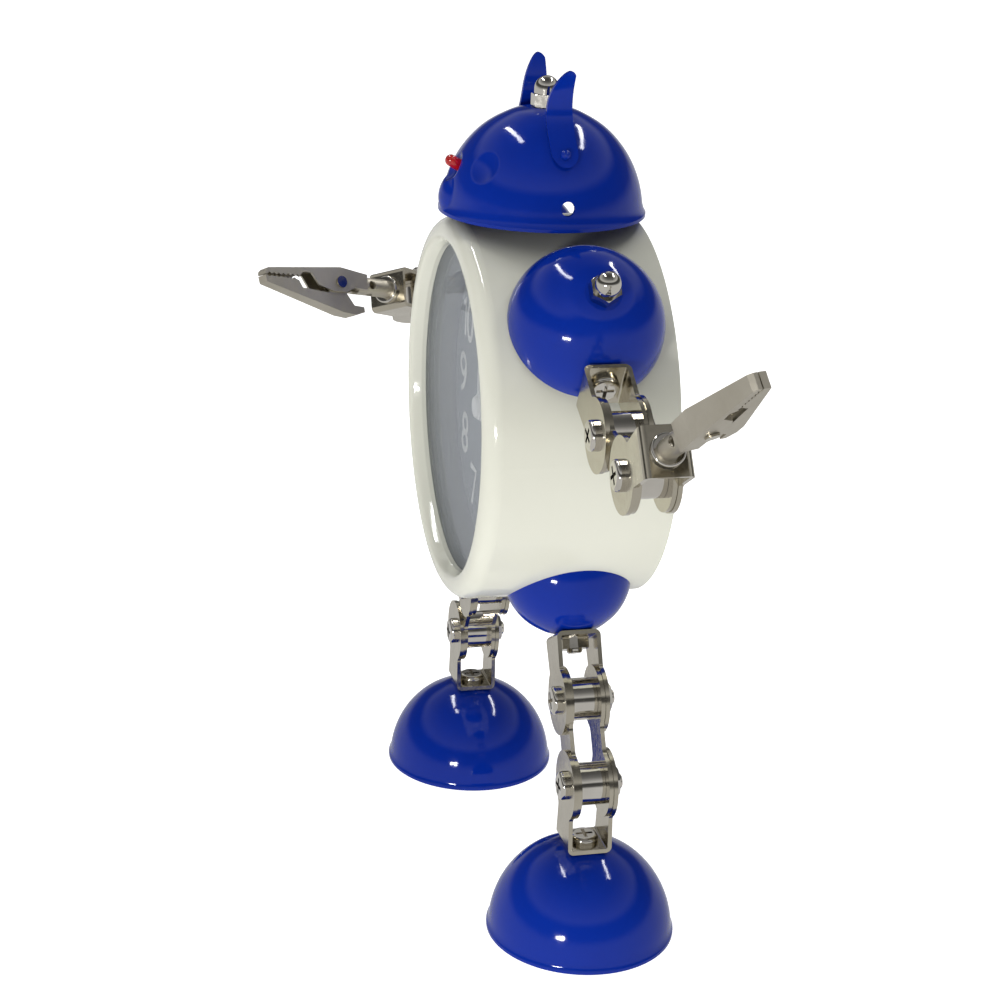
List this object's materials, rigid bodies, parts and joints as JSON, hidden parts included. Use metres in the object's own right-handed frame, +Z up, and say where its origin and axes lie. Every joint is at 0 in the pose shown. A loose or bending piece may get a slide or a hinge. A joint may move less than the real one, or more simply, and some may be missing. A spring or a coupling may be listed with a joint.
{
  "type": "robot alarm clock",
  "caption": "Robot-shaped alarm clock: round enamelled clock body, domed head, shoulders, hips and feet, linked metal arms and legs, spring clips for hands.",
  "frame": {"origin": "on the floor, under the centre of the clock's round case", "axes": "+Z up, the dial faces -Y, +X is the robot's left hand side"},
  "size_m": [0.2378, 0.095, 0.217],
  "materials": {
    "blue_enamel": "gloss enamel",
    "ivory_enamel": "gloss enamel",
    "clear_glass": "polished",
    "dial_card": "satin print",
    "black_plastic": "fine texture",
    "battery_jacket": "printed sleeve",
    "bright_nickel": "polished nickel",
    "nickel_plate": "nickel plate over pressed steel",
    "dark_steel": "blackened",
    "white_paint": "matt white",
    "red_lens": "tinted clear epoxy"
  },
  "bodies": {
    "case": {"case_shell": "ivory_enamel", "lens": "clear_glass", "dial_ring": "dial_card", "dial": "dial_card", "movement_case": "black_plastic", "back_cover": "black_plastic", "battery": "battery_jacket", "battery_contacts": "bright_nickel", "back_screws": "dark_steel", "body_bolts": "bright_nickel", "body_nuts": "bright_nickel", "spacer_tubes": "bright_nickel", "hip_domes": "blue_enamel"},
    "battery_door": {"battery_door": "black_plastic"},
    "time_knob": {"time_knob": "black_plastic"},
    "alarm_knob": {"alarm_knob": "black_plastic"},
    "alarm_switch": {"alarm_switch": "black_plastic"},
    "hour_hand": {"hour_hand": "white_paint"},
    "minute_hand": {"minute_hand": "white_paint"},
    "second_hand": {"second_hand": "white_paint"},
    "alarm_hand": {"alarm_hand": "white_paint"},
    "head": {"head_shell": "blue_enamel", "ears": "blue_enamel", "nose_led": "red_lens"},
    "left_shoulder": {"left_shoulder_dome": "blue_enamel"},
    "left_upper_arm": {"left_upper_bracket": "nickel_plate", "left_upper_fasteners": "bright_nickel"},
    "left_arm_link": {"left_arm_link_plates": "nickel_plate", "left_arm_rollers": "bright_nickel"},
    "left_forearm": {"left_fore_bracket": "nickel_plate", "left_fore_fasteners": "bright_nickel"},
    "left_clip": {"left_clip_body": "nickel_plate", "left_clip_rivet": "nickel_plate", "left_clip_spring": "nickel_plate"},
    "left_clip_jaw": {"left_clip_jaw": "nickel_plate"},
    "left_thigh": {"left_hip_bracket": "nickel_plate", "left_knee_pin": "bright_nickel"},
    "left_shin": {"left_leg_link_plates": "nickel_plate", "left_leg_rollers": "bright_nickel"},
    "left_ankle": {"left_foot_bracket": "nickel_plate", "left_foot_fasteners": "bright_nickel"},
    "left_foot": {"left_foot_dome": "blue_enamel"},
    "right_shoulder": {"right_shoulder_dome": "blue_enamel"},
    "right_upper_arm": {"right_upper_bracket": "nickel_plate", "right_upper_fasteners": "bright_nickel"},
    "right_arm_link": {"right_arm_link_plates": "nickel_plate", "right_arm_rollers": "bright_nickel"},
    "right_forearm": {"right_fore_bracket": "nickel_plate", "right_fore_fasteners": "bright_nickel"},
    "right_clip": {"right_clip_body": "nickel_plate", "right_clip_rivet": "nickel_plate", "right_clip_spring": "nickel_plate"},
    "right_clip_jaw": {"right_clip_jaw": "nickel_plate"},
    "right_thigh": {"right_hip_bracket": "nickel_plate", "right_knee_pin": "bright_nickel"},
    "right_shin": {"right_leg_link_plates": "nickel_plate", "right_leg_rollers": "bright_nickel"},
    "right_ankle": {"right_foot_bracket": "nickel_plate", "right_foot_fasteners": "bright_nickel"},
    "right_foot": {"right_foot_dome": "blue_enamel"}
  },
  "joints": [
    {"name": "head_turn", "type": "hinge", "parent": "case", "child": "head", "pos_m": [0, 0, 0.17934], "axis": [0, 0, 1], "range_deg": [-90, 90]},
    {"name": "time_knob_turn", "type": "hinge", "parent": "case", "child": "time_knob", "pos_m": [0.013, 0.0225, 0.13924], "axis": [0, 1, 0], "continuous": true},
    {"name": "alarm_knob_turn", "type": "hinge", "parent": "case", "child": "alarm_knob", "pos_m": [-0.013, 0.0225, 0.13924], "axis": [0, 1, 0], "continuous": true},
    {"name": "minute_hand_turn", "type": "hinge", "parent": "case", "child": "minute_hand", "pos_m": [0, -0.0118, 0.12724], "axis": [0, 1, 0], "continuous": true},
    {"name": "hour_hand_turn", "type": "hinge", "parent": "case", "child": "hour_hand", "pos_m": [0, -0.0118, 0.12724], "axis": [0, 1, 0], "continuous": true},
    {"name": "second_hand_turn", "type": "hinge", "parent": "case", "child": "second_hand", "pos_m": [0, -0.0118, 0.12724], "axis": [0, 1, 0], "continuous": true},
    {"name": "alarm_hand_turn", "type": "hinge", "parent": "case", "child": "alarm_hand", "pos_m": [0, -0.0118, 0.12724], "axis": [0, 1, 0], "continuous": true},
    {"name": "battery_door_slide", "type": "slide", "parent": "case", "child": "battery_door", "axis": [0, 0, -1], "range_m": [0, 0.005]},
    {"name": "alarm_switch_slide", "type": "slide", "parent": "case", "child": "alarm_switch", "axis": [-1, 0, 0], "range_m": [0, 0.006]},
    {"name": "left_shoulder_turn", "type": "hinge", "parent": "case", "child": "left_shoulder", "pos_m": [0.03853, 0.002, 0.15957], "axis": [0.766, 0, 0.6428], "range_deg": [-60, 60]},
    {"name": "left_arm_swivel", "type": "hinge", "parent": "left_shoulder", "child": "left_upper_arm", "pos_m": [0.05517, 0.002, 0.14991], "axis": [0.887, 0, -0.4617], "range_deg": [-60, 60]},
    {"name": "left_elbow", "type": "hinge", "parent": "left_upper_arm", "child": "left_arm_link", "pos_m": [0.07047, 0.002, 0.14195], "axis": [0, 1, 0], "range_deg": [-40, 50]},
    {"name": "left_wrist", "type": "hinge", "parent": "left_arm_link", "child": "left_forearm", "pos_m": [0.09211, 0.002, 0.13975], "axis": [0, 1, 0], "range_deg": [-35, 80]},
    {"name": "left_clip_turn", "type": "hinge", "parent": "left_forearm", "child": "left_clip", "pos_m": [0.10597, 0.002, 0.14993], "axis": [0.8059, 0, 0.592], "range_deg": [-90, 90]},
    {"name": "left_clip_open", "type": "hinge", "parent": "left_clip", "child": "left_clip_jaw", "pos_m": [0.12162, 0.00482, 0.16153], "axis": [-0.5593, -0.1907, 0.8067], "range_deg": [0, 18], "stiffness_Nm_per_rad": 0.05, "springref_deg": -28.65},
    {"name": "left_hip_turn", "type": "hinge", "parent": "case", "child": "left_thigh", "pos_m": [0.03088, 0.005, 0.07481], "axis": [0.5075, 0, -0.8616], "range_deg": [-30, 30]},
    {"name": "left_knee", "type": "hinge", "parent": "left_thigh", "child": "left_shin", "pos_m": [0.03961, 0.005, 0.05999], "axis": [0, 1, 0], "range_deg": [-25, 25]},
    {"name": "left_ankle_bend", "type": "hinge", "parent": "left_shin", "child": "left_ankle", "pos_m": [0.05065, 0.005, 0.04125], "axis": [0, 1, 0], "range_deg": [-25, 25]},
    {"name": "left_foot_turn", "type": "hinge", "parent": "left_ankle", "child": "left_foot", "pos_m": [0.05065, 0.005, 0.024], "axis": [0, 0, 1], "range_deg": [-90, 90]},
    {"name": "right_shoulder_turn", "type": "hinge", "parent": "case", "child": "right_shoulder", "pos_m": [-0.03853, 0.002, 0.15957], "axis": [-0.766, 0, 0.6428], "range_deg": [-60, 60]},
    {"name": "right_arm_swivel", "type": "hinge", "parent": "right_shoulder", "child": "right_upper_arm", "pos_m": [-0.05517, 0.002, 0.14991], "axis": [-0.887, 0, -0.4617], "range_deg": [-20, 60]},
    {"name": "right_elbow", "type": "hinge", "parent": "right_upper_arm", "child": "right_arm_link", "pos_m": [-0.07047, 0.002, 0.14195], "axis": [-0.4617, 0, 0.887], "range_deg": [-50, 15]},
    {"name": "right_wrist", "type": "hinge", "parent": "right_arm_link", "child": "right_forearm", "pos_m": [-0.08421, -0.01327, 0.1348], "axis": [-0.4617, 0, 0.887], "range_deg": [-80, 15]},
    {"name": "right_clip_turn", "type": "hinge", "parent": "right_forearm", "child": "right_clip", "pos_m": [-0.07369, -0.02573, 0.14027], "axis": [0.6117, -0.7242, 0.3184], "range_deg": [-90, 90]},
    {"name": "right_clip_open", "type": "hinge", "parent": "right_clip", "child": "right_clip_jaw", "pos_m": [-0.06473, -0.04269, 0.14449], "axis": [0.7788, 0.4787, 0.4054], "range_deg": [0, 18], "stiffness_Nm_per_rad": 0.05, "springref_deg": -28.65},
    {"name": "right_hip_turn", "type": "hinge", "parent": "case", "child": "right_thigh", "pos_m": [-0.03088, -0.002, 0.07481], "axis": [-0.5075, 0, -0.8616], "range_deg": [-30, 30]},
    {"name": "right_knee", "type": "hinge", "parent": "right_thigh", "child": "right_shin", "pos_m": [-0.03961, -0.002, 0.05999], "axis": [0, 1, 0], "range_deg": [-25, 25]},
    {"name": "right_ankle_bend", "type": "hinge", "parent": "right_shin", "child": "right_ankle", "pos_m": [-0.05065, -0.002, 0.04125], "axis": [0, 1, 0], "range_deg": [-25, 25]},
    {"name": "right_foot_turn", "type": "hinge", "parent": "right_ankle", "child": "right_foot", "pos_m": [-0.05065, -0.002, 0.024], "axis": [0, 0, 1], "range_deg": [-90, 90]}
  ],
  "couplings": [
    {"joint": "minute_hand_turn", "follows": "time_knob_turn", "ratio": 1},
    {"joint": "hour_hand_turn", "follows": "time_knob_turn", "ratio": 0.083333},
    {"joint": "alarm_hand_turn", "follows": "alarm_knob_turn", "ratio": 1}
  ]
}
